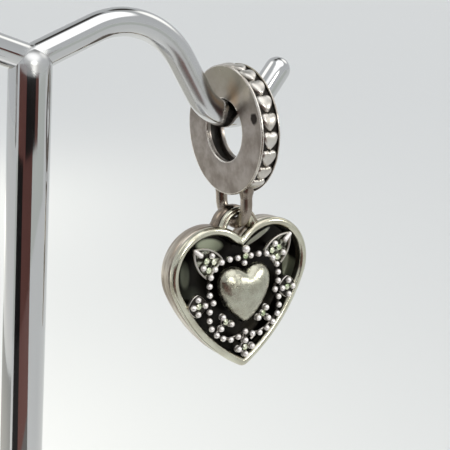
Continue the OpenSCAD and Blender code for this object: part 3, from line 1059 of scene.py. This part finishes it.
# a dark curved card stands in front, as the person behind the camera does; only polished metal shows it
verts, faces = [], []
for k in range(33):
    a = rad(193 + 98 * k / 32)
    for r, h in ((0.045, 0.0005), (0.07, 0.0005), (0.15, 0.0005), (0.15, 0.044 - 0.019 * k / 32), (0.15, 0.074 - 0.02 * k / 32)):
        verts.append((0.012 + r * math.cos(a), r * math.sin(a), h))
for k in range(32):
    for i in (0, 1, 2, 3) if k < 24 else (3,):
        faces.append((5 * k + i, 5 * k + 5 + i, 5 * k + 6 + i, 5 * k + 1 + i))
me = bpy.data.meshes.new("dark_card")
me.from_pydata(verts, [], faces)
card = bpy.data.objects.new("dark_card", me)
scene.collection.objects.link(card)
card_mat, nt, b = material("dark_card")
b.inputs["Base Color"].default_value = (0.006, 0.004, 0.004, 1)
b.inputs["Roughness"].default_value = 0.9
edge_mat, nt, b = material("brown_card")
b.inputs["Base Color"].default_value = (0.16, 0.062, 0.052, 1)
b.inputs["Roughness"].default_value = 0.9
card.data.materials.append(card_mat)
card.data.materials.append(edge_mat)
side_mat, nt, b = material("side_card")
b.inputs["Base Color"].default_value = (0.15, 0.14, 0.135, 1)
b.inputs["Roughness"].default_value = 0.9
card.data.materials.append(side_mat)
for i, poly in enumerate(card.data.polygons):
    k, row = (i // 4, i % 4) if i < 96 else (i - 72, 3)
    poly.material_index = (0 if 12 <= k <= 26 else 1) if row == 3 else (2 if row == 0 else 0 if k < 9 else 1)

# a grey card lies on the floor in front and to the left; it only shows in polished metal
me = bpy.data.meshes.new("grey_card")
verts, faces = [], []
for first, last, r0, r1 in ((184, 334, 0.16, 1.2), (90, 182, 0.0, 0.13), (120, 182, 0.14, 1.2)):
    base = len(verts)
    for k in range(33):
        a = rad(first + (last - first) * k / 32)
        for r in (r0, r1):
            verts.append((0.012 + r * math.cos(a), r * math.sin(a), 0.0006))
    for k in range(32):
        faces.append(tuple(base + 2 * k + i for i in (0, 2, 3, 1)))
me.from_pydata(verts, [], faces)
grey = bpy.data.objects.new("grey_card", me)
scene.collection.objects.link(grey)
grey_mat, nt, b = material("grey_card")
b.inputs["Base Color"].default_value = (0.56, 0.585, 0.56, 1)
b.inputs["Roughness"].default_value = 0.9
grey.data.materials.append(grey_mat)
near_mat, nt, b = material("near_card")
b.inputs["Base Color"].default_value = (0.33, 0.33, 0.325, 1)
b.inputs["Roughness"].default_value = 0.9
grey.data.materials.append(near_mat)
pale_mat, nt, b = material("pale_card")
b.inputs["Base Color"].default_value = (0.74, 0.74, 0.74, 1)
b.inputs["Roughness"].default_value = 0.9
grey.data.materials.append(pale_mat)
for i, poly in enumerate(grey.data.polygons):
    poly.material_index = i // 32
for ob in (card, grey):
    ob.visible_camera = False
    ob.visible_diffuse = False
    ob.visible_shadow = False

# studio surroundings: even and pale, with a bright soft panel overhead and a dark gap behind it
world = bpy.data.worlds.new("studio")
scene.world = world
world.use_nodes = True
nt = world.node_tree
bg = nt.nodes["Background"]
tc = nt.nodes.new("ShaderNodeTexCoord")


def sky_spot(direction, reach, soft):
    d = nt.nodes.new("ShaderNodeVectorMath")
    d.operation = "DISTANCE"
    u = np.array(direction, float)
    d.inputs[1].default_value = tuple(u / np.linalg.norm(u))
    nt.links.new(tc.outputs["Generated"], d.inputs[0])
    mr = nt.nodes.new("ShaderNodeMapRange")
    mr.interpolation_type = "SMOOTHSTEP"
    mr.inputs["From Min"].default_value = reach * (1 + soft)
    mr.inputs["From Max"].default_value = reach * (1 - soft)
    nt.links.new(d.outputs["Value"], mr.inputs["Value"])
    return mr.outputs["Result"]


sky = mix(nt, sky_spot((0, 0, 1), 1.2, 0.5), (0.66, 0.68, 0.695), (0.58, 0.6, 0.61))
sky = mix(nt, sky_spot((0.0, -0.965, 0.26), 0.15, 0.25), sky, (9.0, 9.0, 8.5))
sky = mix(nt, sky_spot((0.78, 0.08, 0.62), 0.25, 0.3), sky, (1.6, 1.6, 1.55))
sky = mix(nt, sky_spot((-0.52, 0.39, 0.757), 0.28, 0.3), sky, (1.7, 1.68, 1.62))
sky = mix(nt, sky_spot((0.1, -0.5, 0.86), 0.5, 0.12), sky, (1.75, 1.76, 1.76))
sky = mix(nt, sky_spot((0.05, 0.25, 0.96), 0.17, 0.3), sky, (0.05, 0.045, 0.04))
sky = mix(nt, sky_spot((0.45, 0.3, 0.84), 0.17, 0.3), sky, (0.05, 0.045, 0.04))
nt.links.new(sky, bg.inputs["Color"])
bg.inputs["Strength"].default_value = 1.0


def area(name, loc, target, size, power, colour=(1, 1, 1)):
    la = bpy.data.lights.new(name, "AREA")
    la.shape = "RECTANGLE"
    la.size, la.size_y = size
    la.energy = power
    la.color = colour
    ob = bpy.data.objects.new(name, la)
    d = np.array(target, float) - np.array(loc, float)
    d /= np.linalg.norm(d)
    z = -d
    x = np.cross((0, 0, 1), z)
    if np.linalg.norm(x) < 1e-6:
        x = np.array([1.0, 0, 0])
    x /= np.linalg.norm(x)
    y = np.cross(z, x)
    m = Matrix.Identity(4)
    for i in range(3):
        m[i][0], m[i][1], m[i][2], m[i][3] = x[i], y[i], z[i], loc[i]
    ob.matrix_world = m
    scene.collection.objects.link(ob)
    return ob


for name, x, y, power in (("fill_near", -0.033, 0.041, 0.06), ("fill_far", -0.012, 0.227, 0.14)):
    fill = area(name, (x, y, 0.08), (x, y, 0), (0.04, 0.04), power, (1, 0.965, 0.83))
    fill.visible_glossy = False

# a small soft lamp in front on the right gives the charm alone its second highlights
lamp = area("charm_lamp", (0.155, -0.135, 0.095), (0.022, 0, 0.036), (0.05, 0.03), 0.07, (1, 1, 0.96))
charm = bpy.data.collections.new("charm_pieces")
for ob in (ring_ob, row_ob, case_ob, eye_ob, bead_ob, web_ob, stone_ob, puff_ob):
    charm.objects.link(ob)
lamp.light_linking.receiver_collection = charm

cam_data = bpy.data.cameras.new("camera")
cam_data.lens = 77.25
cam_data.sensor_width = 36
cam_data.clip_start = 0.001
cam_data.clip_end = 20
cam = bpy.data.objects.new("camera", cam_data)
f = np.array([0.54024, 0.80629, -0.24090])
R = np.array([0.82829, -0.56004, -0.01694])
U = np.array([0.14857, 0.19039, 0.97039])
pos = np.array([-43.85 + HANG_X, -64.08, 19.29 + RING_Z - 7.98]) * 0.001
m = Matrix.Identity(4)
for i in range(3):
    m[i][0], m[i][1], m[i][2], m[i][3] = R[i], U[i], -f[i], pos[i]
cam.matrix_world = m
scene.collection.objects.link(cam)
scene.camera = cam
